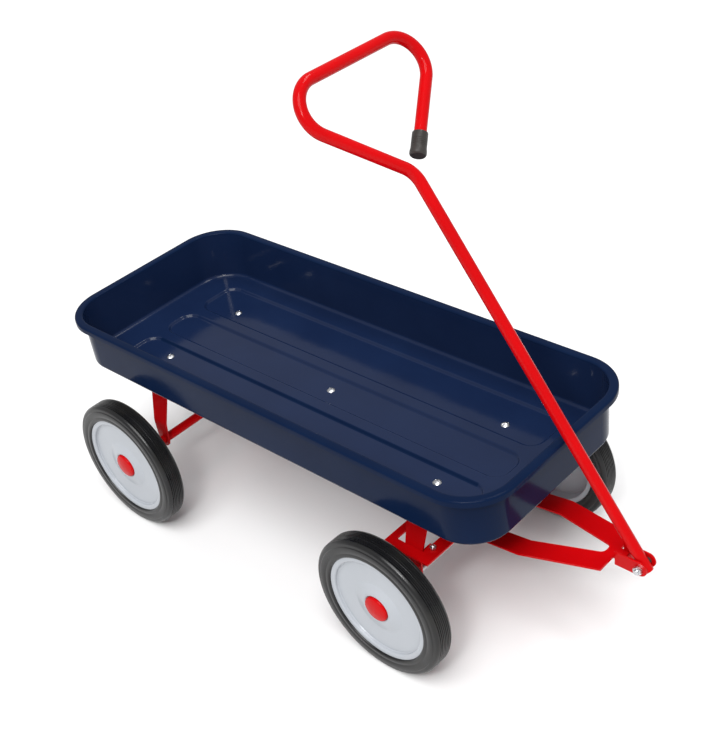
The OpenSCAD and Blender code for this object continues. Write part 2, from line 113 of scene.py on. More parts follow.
def lathe(profile, segments=128):
    """A closed section [(radius, height), ...] turned round Z, as vertices and faces."""
    verts, faces, rings = [], [], []
    for r, h in profile:
        if r < 1e-6:
            rings.append([len(verts)])
            verts.append((0.0, 0.0, h))
            continue
        rings.append(list(range(len(verts), len(verts) + segments)))
        for i in range(segments):
            a = 2 * math.pi * i / segments
            verts.append((r * math.cos(a), r * math.sin(a), h))
    for k, a in enumerate(rings):
        b = rings[(k + 1) % len(rings)]
        for i in range(segments):
            j = (i + 1) % segments
            if len(a) > 1 and len(b) > 1:
                faces.append((a[i], a[j], b[j], b[i]))
            elif len(b) > 1:
                faces.append((a[0], b[j], b[i]))
            elif len(a) > 1:
                faces.append((a[i], a[j], b[0]))
            else:
                break
    return verts, faces


def placed(shape, origin, z_axis, x_axis=None):
    """A shape about Z, turned so that its Z is z_axis, and moved to origin."""
    z = Vector(z_axis).normalized()
    x = Vector(x_axis) if x_axis is not None else (
        Vector((1, 0, 0)) if abs(z.x) < 0.9 else Vector((0, 1, 0)))
    x = (x - z * x.dot(z)).normalized()
    turn = Matrix((x, z.cross(x), z)).transposed()
    return [turn @ Vector(v) + Vector(origin) for v in shape[0]], shape[1]


def joined(shapes):
    verts, faces = [], []
    for v, f in shapes:
        base = len(verts)
        verts.extend(v)
        faces.extend(tuple(i + base for i in face) for face in f)
    return verts, faces


def arc(cx, cy, r, a0, a1, n):
    turns = [math.radians(a0 + (a1 - a0) * i / n) for i in range(n + 1)]
    return [(cx + r * math.cos(a), cy + r * math.sin(a)) for a in turns]


def rounded(points, radius, n=4):
    """An open polyline with its inner corners rounded."""
    out = [tuple(points[0][:2])]
    for k in range(1, len(points) - 1):
        a, b, c = (Vector(points[i][:2]) for i in (k - 1, k, k + 1))
        u, w = a - b, c - b
        lu, lw = u.length, w.length
        u, w = u / lu, w / lw
        angle = math.acos(max(-1.0, min(1.0, u.dot(w))))
        if angle > math.pi - 0.02:
            out.append(tuple(b))
            continue
        reach = min(radius / math.tan(angle / 2), 0.45 * lu, 0.45 * lw)
        for i in range(n + 1):
            t = i / n
            q = (b + u * reach) * (1 - t) ** 2 + b * 2 * t * (1 - t) + (b + w * reach) * t ** 2
            out.append(tuple(q))
    out.append(tuple(points[-1][:2]))
    return out


def side_of(path, t):
    """A polyline moved sideways by t, with mitred corners."""
    out = []
    for i, p in enumerate(path):
        p = Vector(p)
        after = (Vector(path[i + 1]) - p).normalized() if i < len(path) - 1 else None
        before = (p - Vector(path[i - 1])).normalized() if i > 0 else after
        after = after or before
        along = (before + after).normalized()
        out.append(tuple(p + Vector((-along.y, along.x)) * t / along.dot(before)))
    return out


def strip(path, t):
    """The closed outline of a strip of thickness t that follows a path."""
    return side_of(path, t / 2) + side_of(path, -t / 2)[::-1]


def smooth_step(t):
    t = max(0.0, min(1.0, t))
    return t * t * (3 - 2 * t)


# ---------------------------------------------------------------- materials

def shader(name, colour, roughness, metallic=0.0, coat=0.0, level=0.5):
    mat = bpy.data.materials.new(name)
    mat.use_nodes = True
    nodes, links = mat.node_tree.nodes, mat.node_tree.links
    bsdf = nodes["Principled BSDF"]
    bsdf.inputs["Base Color"].default_value = (*colour, 1)
    bsdf.inputs["Roughness"].default_value = roughness
    bsdf.inputs["Metallic"].default_value = metallic
    bsdf.inputs["Coat Weight"].default_value = coat
    bsdf.inputs["Coat Roughness"].default_value = 0.04
    bsdf.inputs["Specular IOR Level"].default_value = level
    place = nodes.new("ShaderNodeTexCoord")
    return mat, nodes, links, bsdf, place.outputs["Object"]


def noise(nodes, links, place, scale, detail=4.0, stretch=None, rough=0.55):
    if stretch:
        mapping = nodes.new("ShaderNodeMapping")
        mapping.inputs["Scale"].default_value = stretch
        links.new(place, mapping.inputs["Vector"])
        place = mapping.outputs["Vector"]
    tex = nodes.new("ShaderNodeTexNoise")
    tex.inputs["Scale"].default_value = scale
    tex.inputs["Detail"].default_value = detail
    tex.inputs["Roughness"].default_value = rough
    links.new(place, tex.inputs["Vector"])
    return tex.outputs["Fac"]


def spread(nodes, links, value, lo, hi, at=(0.3, 0.7)):
    node = nodes.new("ShaderNodeMapRange")
    node.inputs["From Min"].default_value = at[0]
    node.inputs["From Max"].default_value = at[1]
    node.inputs["To Min"].default_value = lo
    node.inputs["To Max"].default_value = hi
    links.new(value, node.inputs["Value"])
    return node.outputs["Result"]


def tint(nodes, links, fac, a, b):
    mix = nodes.new("ShaderNodeMix")
    mix.data_type = "RGBA"
    mix.inputs["A"].default_value = (*a, 1)
    mix.inputs["B"].default_value = (*b, 1)
    links.new(fac, mix.inputs["Factor"])
    return mix.outputs["Result"]


def bumps(nodes, links, bsdf, layers):
    """Stacked bump layers, each (height, strength, distance in metres)."""
    last = None
    for height, strength, distance in layers:
        node = nodes.new("ShaderNodeBump")
        node.inputs["Strength"].default_value = strength
        node.inputs["Distance"].default_value = distance
        links.new(height, node.inputs["Height"])
        if last is not None:
            links.new(last, node.inputs["Normal"])
        last = node.outputs["Normal"]
    links.new(last, bsdf.inputs["Normal"])
    return last


def enamel(name, colour, dark, dust, roughness, level=0.5, coat=0.0):
    """Stoved enamel: slightly uneven colour, orange peel, dust specks and fine handling marks."""
    mat, nodes, links, bsdf, place = shader(name, colour, roughness, coat=coat, level=level)
    cloud = noise(nodes, links, place, 7.0, 3.0)
    specks = noise(nodes, links, place, 420.0, 2.0)
    marks = noise(nodes, links, place, 60.0, 6.0, stretch=(1.0, 6.0, 3.0))
    base = tint(nodes, links, spread(nodes, links, cloud, 0.0, 1.0), dark, colour)
    mix = nodes.new("ShaderNodeMix")
    mix.data_type = "RGBA"
    mix.inputs["B"].default_value = (*dust, 1)
    links.new(base, mix.inputs["A"])
    links.new(spread(nodes, links, specks, 0.0, 0.16, (0.70, 0.80)), mix.inputs["Factor"])
    links.new(mix.outputs["Result"], bsdf.inputs["Base Color"])
    links.new(spread(nodes, links, marks, roughness * 0.75, roughness * 1.45),
              bsdf.inputs["Roughness"])
    peel = noise(nodes, links, place, 240.0, 2.0)
    wave = noise(nodes, links, place, 14.0, 1.0)
    bumps(nodes, links, bsdf, [(wave, 0.30, 0.0016), (peel, 0.10, 0.0004)])
    return mat


def metal(name, colour, dark, roughness, scale=90.0, stretch=None):
    """Plated or bare steel: mottled tone, brushing or pitting, and duller patches."""
    mat, nodes, links, bsdf, place = shader(name, colour, roughness, metallic=1.0)
    mottle = noise(nodes, links, place, scale, 5.0, stretch=stretch)
    links.new(tint(nodes, links, spread(nodes, links, mottle, 0.0, 1.0), dark, colour),
              bsdf.inputs["Base Color"])
    links.new(spread(nodes, links, mottle, roughness * 0.7, roughness * 1.5),
              bsdf.inputs["Roughness"])
    grain = noise(nodes, links, place, scale * 9, 3.0, stretch=stretch)
    bumps(nodes, links, bsdf, [(mottle, 0.15, 0.0003), (grain, 0.12, 0.0001)])
    return mat


def moulded(name, colour, pale, roughness, grain_scale, level=0.5):
    """Rubber or plastic: bloom in the colour, fine moulded grain and patchy sheen."""
    mat, nodes, links, bsdf, place = shader(name, colour, roughness, level=level)
    bloom = noise(nodes, links, place, 22.0, 6.0, rough=0.65)
    links.new(tint(nodes, links, spread(nodes, links, bloom, 0.0, 1.0, (0.45, 0.8)),
                   colour, pale), bsdf.inputs["Base Color"])
    links.new(spread(nodes, links, bloom, roughness * 0.8, roughness * 1.3),
              bsdf.inputs["Roughness"])
    grain = noise(nodes, links, place, grain_scale, 4.0)
    lumps = noise(nodes, links, place, grain_scale / 12, 2.0)
    bumps(nodes, links, bsdf, [(lumps, 0.20, 0.0006), (grain, 0.25, 0.0002)])
    return mat


NAVY = enamel("navy_enamel", (0.0070, 0.0160, 0.0510), (0.0056, 0.0130, 0.0430),
              (0.03, 0.04, 0.07), 0.11, level=0.20)
# Painted shade: a darker, less glossy copy of the same navy paint, used for the tray's outside
# faces, underside and rim.
NAVY_PAINTED_SHADE = enamel("navy_enamel_painted_shade", (0.0040, 0.0120, 0.0400), (0.0032, 0.0095, 0.0330),
                  (0.03, 0.04, 0.07), 0.12, level=0.04)
RED = enamel("red_enamel", (0.53, 0.0020, 0.0035), (0.45, 0.0015, 0.0028),
             (0.56, 0.03, 0.03), 0.12, level=0.10)
WHITE = enamel("white_enamel", (0.41, 0.432, 0.465), (0.375, 0.397, 0.43),
               (0.24, 0.23, 0.22), 0.16, level=0.4)
ZINC = metal("zinc_plate", (0.72, 0.73, 0.75), (0.52, 0.53, 0.55), 0.26)
STEEL = metal("bright_steel", (0.55, 0.55, 0.56), (0.38, 0.38, 0.39), 0.30,
              scale=60.0, stretch=(1.0, 0.15, 1.0))
RUBBER = moulded("tyre_rubber", (0.008, 0.008, 0.009), (0.014, 0.013, 0.011), 0.30, 900.0,
                 level=0.35)
PLASTIC = moulded("black_plastic", (0.028, 0.025, 0.023), (0.040, 0.036, 0.034), 0.36, 700.0,
                  level=0.3)


# ---------------------------------------------------------------- tray

SHEET = 1.2
RIM_WID = 16.0
LIP_H = 11.0
RIM_EDGE = 4.0
CORNER_R = 88.0
DRAFT = 1.0
FILLET = 7.0
PANEL_DEPTH = 4.5
PANEL_LEN = 813.0
PANEL_BACK = 11.0
PANEL_R = 28.0
PANELS = ((-150.0, -57.0), (-36.0, 36.0), (57.0, 150.0))
STEP_WID = 5.0                          # width of the slope down into a panel
FLOOR_Z = UNDER_Z + SHEET + PANEL_DEPTH
PANEL_Z = FLOOR_Z - PANEL_DEPTH
CORNER_STEPS = 24
LONG_STEPS = 30                         # stations along a long side, and along a short one
SHORT_STEPS = 6
GRID_FINE = 1.3                         # floor grid over the slopes, and between them
GRID_COARSE = 16
GRID_MARGIN = 2                         # how far the grid reaches past the panels
GRID_ENDS = 40                          # length of fine grid at each end of the panels


def tray_section():
    """Middle of the sheet as (inset from the rim's edge, height), from the lip to the floor."""
    top = arc(RIM_WID - RIM_EDGE, RIM_Z - RIM_EDGE, RIM_EDGE - SHEET / 2, 90, DRAFT, 8)
    mid = FILLET + SHEET / 2
    z = FLOOR_Z - SHEET / 2 + mid
    a = math.radians(DRAFT)
    foot = top[-1][0] + (top[-1][1] - (z - mid * math.sin(a))) * math.tan(a)
    inset = foot + mid * math.cos(a)
    path = [(SHEET / 2, RIM_Z - LIP_H)]
    path += arc(RIM_EDGE, RIM_Z - RIM_EDGE, RIM_EDGE - SHEET / 2, 180, 90, 8)
    path += top
    path += arc(inset, z, mid, 180 + DRAFT, 270, 10)
    return path


def perimeter():
    """Stations round the rim: the corner centre that a station turns about, and its direction."""
    cx, cy = TRAY_LEN / 2 - CORNER_R, TRAY_WID / 2 - CORNER_R
    stations = []
    corners = ((cx, cy, 0), (-cx, cy, 90), (-cx, -cy, 180), (cx, -cy, 270))
    for k, (x, y, start) in enumerate(corners):
        for i in range(CORNER_STEPS + 1):
            a = math.radians(start + 90 * i / CORNER_STEPS)
            stations.append((x, y, math.cos(a), math.sin(a)))
        nx, ny, end = corners[(k + 1) % 4]
        a = math.radians(start + 90)
        count = LONG_STEPS if k % 2 == 0 else SHORT_STEPS
        for i in range(1, count):
            t = i / count
            stations.append((x + (nx - x) * t, y + (ny - y) * t, math.cos(a), math.sin(a)))
    return stations


def panel_depth_at(x, y):
    """How far the floor is pressed down at a place, measured from the middle of the tray."""
    deepest = 0.0
    for lo, hi in PANELS:
        px = abs(x + PANEL_BACK) - (PANEL_LEN / 2 - PANEL_R)
        py = abs(y - (lo + hi) / 2) - ((hi - lo) / 2 - PANEL_R)
        outside = math.hypot(max(px, 0), max(py, 0)) + min(max(px, py), 0) - PANEL_R
        deepest = max(deepest, smooth_step(-outside / STEP_WID))
    return PANEL_DEPTH * deepest


def between(a, b, step):
    n = max(1, round((b - a) / step))
    return [a + (b - a) * i / n for i in range(n)]


def tray_shape():
    path = tray_section()
    upper, lower = side_of(path, SHEET / 2), side_of(path, -SHEET / 2)
    section = upper[::-1] + lower       # floor, wall, rim, lip, and back along the other face
    stations = perimeter()
    verts, faces = [], []
    for cx, cy, dx, dy in stations:
        for inset, z in section:
            reach = CORNER_R - inset
            verts.append((TRAY_X + cx + dx * reach, cy + dy * reach, z))
    n, m = len(section), len(stations)
    for i in range(m):
        j = (i + 1) % m
        for k in range(n - 1):
            faces.append((i * n + k, j * n + k, j * n + k + 1, i * n + k + 1))
    # the floor: a fine grid over the panels, and a flat ring between it and the walls
    x0 = -PANEL_BACK - PANEL_LEN / 2 - GRID_MARGIN
    x1 = -PANEL_BACK + PANEL_LEN / 2 + GRID_MARGIN
    xs = between(x0, x0 + GRID_ENDS, GRID_FINE)
    xs += between(x0 + GRID_ENDS, x1 - GRID_ENDS, GRID_COARSE)
    xs += between(x1 - GRID_ENDS, x1, GRID_FINE) + [x1]
    y1 = PANELS[-1][1] + GRID_MARGIN
    ys = between(-y1, y1, GRID_FINE) + [y1]
    for level, first in ((FLOOR_Z, 0), (FLOOR_Z - SHEET, n - 1)):
        base = len(verts)
        for x in xs:
            for y in ys:
                verts.append((TRAY_X + x, y, level - panel_depth_at(x, y)))
        w = len(ys)
        for i in range(len(xs) - 1):
            for k in range(w - 1):
                a = base + i * w + k
                faces.append((a, a + w, a + w + 1, a + 1))
        last = len(xs) - 1
        hole = ([base + k for k in range(w)] + [base + i * w + w - 1 for i in range(1, last + 1)]
                + [base + last * w + k for k in range(w - 2, -1, -1)]
                + [base + i * w for i in range(last - 1, 0, -1)])
        outer = [i * n + first for i in range(m)]
        loops = [[Vector(verts[i]) for i in outer], [Vector(verts[i]) for i in hole]]
        ids = outer + hole
        for tri in tessellate_polygon(loops):
            faces.append(tuple(ids[i] for i in tri))
    return verts, faces


tray = finish_mesh(new_object("tray_shell", *tray_shape()), "chassis", "tray_paint", NAVY,
                   replaced=("tray",), sharp=40.0)
# The outside faces, the underside and the rim take the darker navy copy, which is painted shade.
tray.data.materials.append(NAVY_PAINTED_SHADE)
for face in tray.data.polygons:
    at, out = face.center / MM, face.normal
    from_mid = Vector((at.x - TRAY_X, at.y, 0))
    facing_out = out.dot(from_mid) > 0 and abs(out.z) < 0.99
    if facing_out or out.z < -0.5 or at.z > RIM_Z - RIM_EDGE:
        face.material_index = 1


# ---------------------------------------------------------------- fasteners

FLOOR_HEAD_R = 7.5
FLOOR_HEAD_H = 3.4
SLOT_DEPTH = 1.2
SLOT_HALF_WID = 1.15
SLOT_HALF_LEN = 6.0
FLOOR_BOLT_R = 3.0
YOKE_BOLT_R = 3.0
KING_R = 6.0
HINGE_BOLT_R = 4.0
NUT_ACROSS = 10
NUT_H = 5


def hexagon(across, height, hole=0.0, chamfer=(True, True), segments=72):
    """A hexagon nut or head about Z from 0 up, with turned corners and an optional plain hole."""
    flat = across / 2
    corner = flat / math.cos(math.radians(30))
    cut = (corner - flat) * 0.55 + 0.15

    def ring(limit, z):
        out = []
        for i in range(segments):
            a = 2 * math.pi * i / segments
            off = (math.degrees(a) % 60) - 30
            out.append((min(limit, flat / math.cos(math.radians(off))), a, z))
        return out

    levels = []
    low, high = chamfer
    if low:
        levels.append(ring(flat * 0.94, 0))
        levels.append(ring(flat + 0.3, cut * 0.45))
        levels.append(ring(corner, cut))
    else:
        levels.append(ring(corner, 0))
    if high:
        levels.append(ring(corner, height - cut))
        levels.append(ring(flat + 0.3, height - cut * 0.45))
        levels.append(ring(flat * 0.94, height))
    else:
        levels.append(ring(corner, height))
    if hole > 0:
        for r, z in ((hole + 0.5, height), (hole, height - 0.5), (hole, 0.5), (hole + 0.5, 0)):
            levels.append([(r, 2 * math.pi * i / segments, z) for i in range(segments)])
    verts = [(r * math.cos(a), r * math.sin(a), z) for level in levels for r, a, z in level]
    faces = []
    count = len(levels)
    for k in range(count if hole > 0 else count - 1):
        for i in range(segments):
            j, nxt = (i + 1) % segments, (k + 1) % count
            faces.append((k * segments + i, k * segments + j, nxt * segments + j,
                          nxt * segments + i))
    if hole <= 0:
        faces.append(tuple(range(segments))[::-1])
        faces.append(tuple((count - 1) * segments + i for i in range(segments)))
    return verts, faces


def threaded(radius, height, pitch=1.0, plain=0.0):
    """A bolt's shank about Z from 0 up, with thread ridges past the plain part."""
    profile = [(0.0, 0.0), (radius - 0.35, 0.0), (radius, 0.35)]
    z = 0.6
    while z < height - plain - 0.6:
        profile += [(radius, z), (radius - pitch * 0.42, z + pitch * 0.5)]
        z += pitch
    profile += [(radius, z), (radius, height), (0.0, height)]
    return lathe(profile, 40)


def floor_head():
    """Domed head with a shallow driving slot."""
    ball = (FLOOR_HEAD_R ** 2 + FLOOR_HEAD_H ** 2) / (2 * FLOOR_HEAD_H)
    rings, segments = 22, 72
    verts, faces = [(0.0, 0.0, FLOOR_HEAD_H - SLOT_DEPTH)], []
    for k in range(1, rings + 1):
        r = FLOOR_HEAD_R * k / rings
        for i in range(segments):
            a = 2 * math.pi * i / segments
            x, y = r * math.cos(a), r * math.sin(a)
            z = math.sqrt(ball ** 2 - r ** 2) - (ball - FLOOR_HEAD_H)
            slot = smooth_step((SLOT_HALF_WID - abs(x)) / 0.5) * smooth_step(SLOT_HALF_LEN - abs(y))
            verts.append((x, y, max(0.0, z - SLOT_DEPTH * slot)))
    for i in range(segments):
        j = (i + 1) % segments
        faces.append((0, 1 + i, 1 + j))
        for k in range(rings - 1):
            a, b = 1 + k * segments, 1 + (k + 1) * segments
            faces.append((a + i, b + i, b + j, a + j))
    faces.append(tuple(1 + (rings - 1) * segments + i for i in range(segments))[::-1])
    return verts, faces


def floor_bolts(node, grip, turns):
    """The floor bolts of one CAD node; each head's slot lies at its own angle."""
    lo, hi = (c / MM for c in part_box(node))
    mid_x = (lo.x + hi.x) / 2
    spread_y = (hi.y - lo.y) / 2 - FLOOR_HEAD_R
    places = [-spread_y, spread_y] if spread_y > 1 else [0.0]
    shapes = []
    for y, turn in zip(places, turns):
        a = math.radians(turn)
        shapes.append(placed(floor_head(), (mid_x, y, PANEL_Z), (0, 0, 1),
                             (math.cos(a), math.sin(a), 0)))
        shapes.append(placed(threaded(FLOOR_BOLT_R, PANEL_Z - lo.z, plain=4.0),
                             (mid_x, y, lo.z), (0, 0, 1)))
    finish_mesh(new_object(node + "_slotted", *joined(shapes)), "chassis", "zinc_plate", ZINC,
                replaced=(node,), sharp=40.0)
    nuts = [placed(hexagon(NUT_ACROSS, NUT_H, FLOOR_BOLT_R + 0.1),
                   (mid_x, y, UNDER_Z - grip - NUT_H), (0, 0, 1)) for y in places]
    name = node.replace("bolt", "nut")
    finish_mesh(new_object(name + "_turned", *joined(nuts)), "chassis", "zinc_plate", ZINC,
                replaced=(name,))


floor_bolts("rear_tray_bolts", 3.5, (62, 20))
floor_bolts("front_tray_bolts", 3.0, (68, -35))
floor_bolts("centre_tray_bolt", 3.0, (74,))


def seen_as(node, name, shape, body, slot, material, **more):
    return finish_mesh(new_object(name, *shape), body, slot, material, replaced=(node,), **more)


bolt_lo, bolt_hi = (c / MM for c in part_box("kingpin_bolt"))
seen_as("kingpin_bolt", "kingpin_bolt_turned", joined([
    placed(hexagon(19, 7), (KING_X, 0, bolt_hi.z - 7), (0, 0, 1)),
    placed(threaded(KING_R, bolt_hi.z - 6.9 - bolt_lo.z, 1.5, 16.0),
           (KING_X, 0, bolt_lo.z), (0, 0, 1)),
]), "chassis", "zinc_plate", ZINC)
nut_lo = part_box("kingpin_nut")[0] / MM
seen_as("kingpin_nut", "kingpin_nut_turned",
        placed(hexagon(19, 10, KING_R + 0.02), (KING_X, 0, nut_lo.z), (0, 0, 1)),
        "chassis", "zinc_plate", ZINC)

bolt_lo, bolt_hi = (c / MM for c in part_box("yoke_bolts"))
nut_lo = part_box("yoke_nuts")[0] / MM
yoke_bolt_x = (bolt_lo.x + bolt_hi.x) / 2
yoke_bolt_y = bolt_hi.y - NUT_ACROSS / 2
heads, nuts = [], []
for side in (-1, 1):
    at = (yoke_bolt_x, side * yoke_bolt_y)
    heads.append(placed(hexagon(NUT_ACROSS, 4), (*at, bolt_lo.z), (0, 0, 1)))
    heads.append(placed(threaded(YOKE_BOLT_R, bolt_hi.z - bolt_lo.z - 3.5, plain=5.0),
                        (*at, bolt_hi.z), (0, 0, -1)))
    nuts.append(placed(hexagon(NUT_ACROSS, NUT_H, YOKE_BOLT_R + 0.02), (*at, nut_lo.z), (0, 0, 1)))
seen_as("yoke_bolts", "yoke_bolts_turned", joined(heads), "steering", "zinc_plate", ZINC)
seen_as("yoke_nuts", "yoke_nuts_turned", joined(nuts), "steering", "zinc_plate", ZINC)

bolt_lo, bolt_hi = (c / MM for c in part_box("hinge_bolt"))
nut_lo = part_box("hinge_nut")[0] / MM
seen_as("hinge_bolt", "hinge_bolt_turned", joined([
    placed(hexagon(13, 5.5), (HINGE.x, bolt_hi.y, HINGE.z), (0, -1, 0), (0.9, 0, 0.44)),
    placed(threaded(HINGE_BOLT_R, bolt_hi.y - bolt_lo.y - 5, 1.25, 26.0),
           (HINGE.x, bolt_lo.y, HINGE.z), (0, 1, 0)),
]), "steering", "zinc_plate", ZINC)
seen_as("hinge_nut", "hinge_nut_turned",
        placed(hexagon(13, 6.5, HINGE_BOLT_R + 0.02), (HINGE.x, nut_lo.y, HINGE.z), (0, 1, 0),
               (0.8, 0, 0.6)),
        "steering", "zinc_plate", ZINC)


# ---------------------------------------------------------------- pressed steel carriage

def softened(node, body, radius, material, slot="red_paint", segments=3):
    """A pressed part with its cut edges rolled over, shaped on the CAD node's own mesh."""
    source = frame["nodes"][node]
    mesh = source.data.copy()
    obj = bpy.data.objects.new(node + "_pressed", mesh)
    SCENE.collection.objects.link(obj)
    bm = bmesh.new()
    bm.from_mesh(mesh)
    bmesh.ops.remove_doubles(bm, verts=bm.verts, dist=2e-5)
    bmesh.ops.dissolve_limit(bm, angle_limit=math.radians(1.0), verts=bm.verts, edges=bm.edges)
    edges = [e for e in bm.edges
             if len(e.link_faces) == 2 and e.calc_face_angle(0) > math.radians(50)]
    bmesh.ops.bevel(bm, geom=edges, offset=radius * MM, segments=segments, profile=0.5,
                    affect="EDGES", clamp_overlap=True)
    bmesh.ops.triangulate(bm, faces=[f for f in bm.faces if len(f.verts) > 4])
    bm.to_mesh(mesh)
    bm.free()
    return finish_mesh(obj, body, slot, material, replaced=(node,), sharp=36.0, weighted=True)


softened("rear_bracket", "chassis", 0.8, RED)
softened("front_bolster", "chassis", 0.7, RED)
softened("centre_brace", "chassis", 0.7, RED)
softened("front_bracket", "steering", 0.8, RED)
softened("steering_yoke", "steering", 1.0, RED)
softened("hinge_ears", "steering", 0.8, RED)


# ---------------------------------------------------------------- handle

TUBE_R = 9.5
TUBE_T = 1.6
GRIP_REACH = 850.0
GRIP_LEN = 156.0
BEND_R = 44.0
LOOP_DEPTH = 201.0
TAIL = 12.0
CAP_T = 2.4
CAP_LEN = 37.0
CAP_FLOOR = 2.6
CAP_FLARE = 0.8
CAP_CLEAR = 20.0

# The loop's runs, from its straight bar back to the first bend; every bend is 45 or 135 degrees.
s45 = math.sin(math.radians(45))
leg_rise = GRIP_REACH - BEND_R * (1 + s45)
first_bend = GRIP_REACH - LOOP_DEPTH
leg_run = (leg_rise - first_bend - BEND_R * s45) / s45
bend_out = BEND_R * (1 - s45) + leg_run * s45
corner_out = GRIP_LEN - (bend_out - BEND_R * s45) + BEND_R * s45
last_run = (corner_out - CAP_CLEAR) / s45 - CAP_FLOOR
HANDLE_STEPS = ((TAIL + first_bend, 45), (leg_run, -135), (GRIP_LEN, -135), (last_run, 0))


def handle_line():
    """Middle of the handle's tube, as (to the left, along the rod) from the hinge."""
    pos, a, points = Vector((0.0, -TAIL)), 0.0, [Vector((0.0, -TAIL))]
    for run, turn in HANDLE_STEPS:
        ahead = Vector((-math.sin(a), math.cos(a)))
        count = max(2, round(run / 30))
        for i in range(1, count + 1):
            points.append(pos + ahead * run * i / count)
        pos = points[-1]
        if turn == 0:
            break
        side = 1 if turn > 0 else -1
        hub = pos + Vector((-math.cos(a), -math.sin(a))) * BEND_R * side
        arm = pos - hub
        count = abs(turn) // 3
        for i in range(1, count + 1):
            q = math.radians(turn * i / count)
            points.append(hub + Vector((arm.x * math.cos(q) - arm.y * math.sin(q),
                                        arm.x * math.sin(q) + arm.y * math.cos(q))))
        pos = points[-1]
        a += math.radians(turn)
    return points, Vector((-math.sin(a), math.cos(a)))


TUBE_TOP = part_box("handle_tube")[1].z / MM


def solve_lean():
    """The rod's lean from vertical, from the tube's top above the hinge."""
    lo, hi = 0.0, math.radians(60)
    for _ in range(60):
        mid = (lo + hi) / 2
        top = GRIP_REACH * math.cos(mid) + TUBE_R
        lo, hi = (mid, hi) if top > TUBE_TOP - HINGE.z else (lo, mid)
    return (lo + hi) / 2


LEAN = solve_lean()
ROD = Vector((-math.sin(LEAN), 0, math.cos(LEAN)))
LEFT = Vector((0, 1, 0))


def on_handle(p):
    return HINGE + LEFT * p[0] + ROD * p[1]


def swept_tube(points, radius, wall, around=40):
    """A round tube along points in the handle's own plane, open at both ends."""
    normal = LEFT.cross(ROD)
    verts, faces = [], []
    spots = [on_handle(p) for p in points]
    for k, spot in enumerate(spots):
        ahead = (spots[min(k + 1, len(spots) - 1)] - spots[max(k - 1, 0)]).normalized()
        out = ahead.cross(normal).normalized()
        for r in (radius, radius - wall):
            for i in range(around):
                a = 2 * math.pi * i / around
                verts.append(spot + (normal * math.cos(a) + out * math.sin(a)) * r)
    row = 2 * around
    for k in range(len(spots) - 1):
        for base in (0, around):
            for i in range(around):
                j = (i + 1) % around
                a, b = k * row + base, (k + 1) * row + base
                faces.append((a + i, a + j, b + j, b + i))
    for k in (0, (len(spots) - 1) * row):
        for i in range(around):
            j = (i + 1) % around
            faces.append((k + i, k + j, k + around + j, k + around + i))
    return verts, faces


line, last_way = handle_line()
seen_as("handle_tube", "handle_bent_tube", swept_tube(line, TUBE_R, TUBE_T),
        "handle", "red_paint", RED, sharp=50.0)

# The moulded end cap: a plain sleeve with fine grip rings and a wider, rounded closed end
wide = TUBE_R + CAP_T
z = CAP_FLOOR - CAP_LEN
sleeve = [(TUBE_R + 0.05, 0.1), (TUBE_R + 0.05, z + 0.8), (TUBE_R + 0.6, z), (wide - 0.7, z),
          (wide - 0.15, z + 0.25), (wide, z + 0.9)]
for ring in range(4):
    at = -22.5 + ring * 3.0
    sleeve += [(wide, at - 0.8), (wide - 0.45, at - 0.25), (wide - 0.45, at + 0.25),
               (wide, at + 0.8)]
sleeve += [(wide, -11.0), (wide + 0.3, -7.5), (wide + CAP_FLARE, -5)]
sleeve += arc(wide + CAP_FLARE - 4, CAP_FLOOR - 4, 4, 0, 90, 8)
sleeve += [(0.0, CAP_FLOOR), (0.0, 0.1)]
way = (LEFT * last_way.x + ROD * last_way.y).normalized()
seen_as("handle_end_cap", "handle_end_cap_moulded",
        placed(lathe(sleeve, 96), on_handle(line[-1]), way), "handle", "black_plastic", PLASTIC)


# ---------------------------------------------------------------- wheels, about their own axis

TYRE_R = 127.0
HALF_W = 20.0
SEAT_R = 88.9
FLANGE_R = 96.9
FLANGE_W = 16.0
DISC_T = 1.5
TREAD_HALF = 12.6
TREAD_CROWN = 0.15
TREAD_STEPS = 96
GROOVES = (-10.8, -7.2, -3.6, 0.0, 3.6, 7.2, 10.8)
GROOVE_DEPTH = 2.2
GROOVE_HALF = 0.85
GROOVE_SLOPE = 0.55


def tyre_section():
    """(radius, place across) round the tyre, with ribs moulded in the tread."""
    half = [(SEAT_R + 0.85, 0), (SEAT_R + 0.85, FLANGE_W - 2.55),
            (SEAT_R + 2, FLANGE_W - 0.85), (FLANGE_R + 0.6, FLANGE_W - 0.85),
            (FLANGE_R + 0.6, FLANGE_W + 1.6)]
    half += arc(FLANGE_R + 3.6, HALF_W - 3, 3, 165, 90, 6)
    half += [(104.0, HALF_W), (105.0, HALF_W - 0.5), (106.2, HALF_W - 0.5), (107.2, HALF_W),
             (TYRE_R - 10.6, HALF_W), (TYRE_R - 10.0, HALF_W - 0.3), (TYRE_R - 9.3, HALF_W - 1.3),
             (TYRE_R - 8.6, HALF_W - 1.55)]
    half += arc(TYRE_R - 8, HALF_W - 9, 8, 68, 14, 8)
    tread = []
    for i in range(TREAD_STEPS + 1):
        w = TREAD_HALF - 2 * TREAD_HALF * i / TREAD_STEPS
        dip = max(smooth_step((GROOVE_HALF - abs(w - groove)) / GROOVE_SLOPE) for groove in GROOVES)
        tread.append((TYRE_R - TREAD_CROWN * (w / TREAD_HALF) ** 2 - GROOVE_DEPTH * dip, w))
    other = [(r, -w) for r, w in half[::-1]]
    return half + tread + other[:-1]


def rim_path(middle, web):
    """One pressed half of the rim, from the centre out to the flange that holds the tyre."""
    path = middle + [(50, web), (SEAT_R - 1.2, web), (SEAT_R, web + 2.0), (SEAT_R, FLANGE_W - 0.9),
                     (SEAT_R + 1.6, FLANGE_W), (FLANGE_R, FLANGE_W)]
    return rounded(path, 2.4, 5)


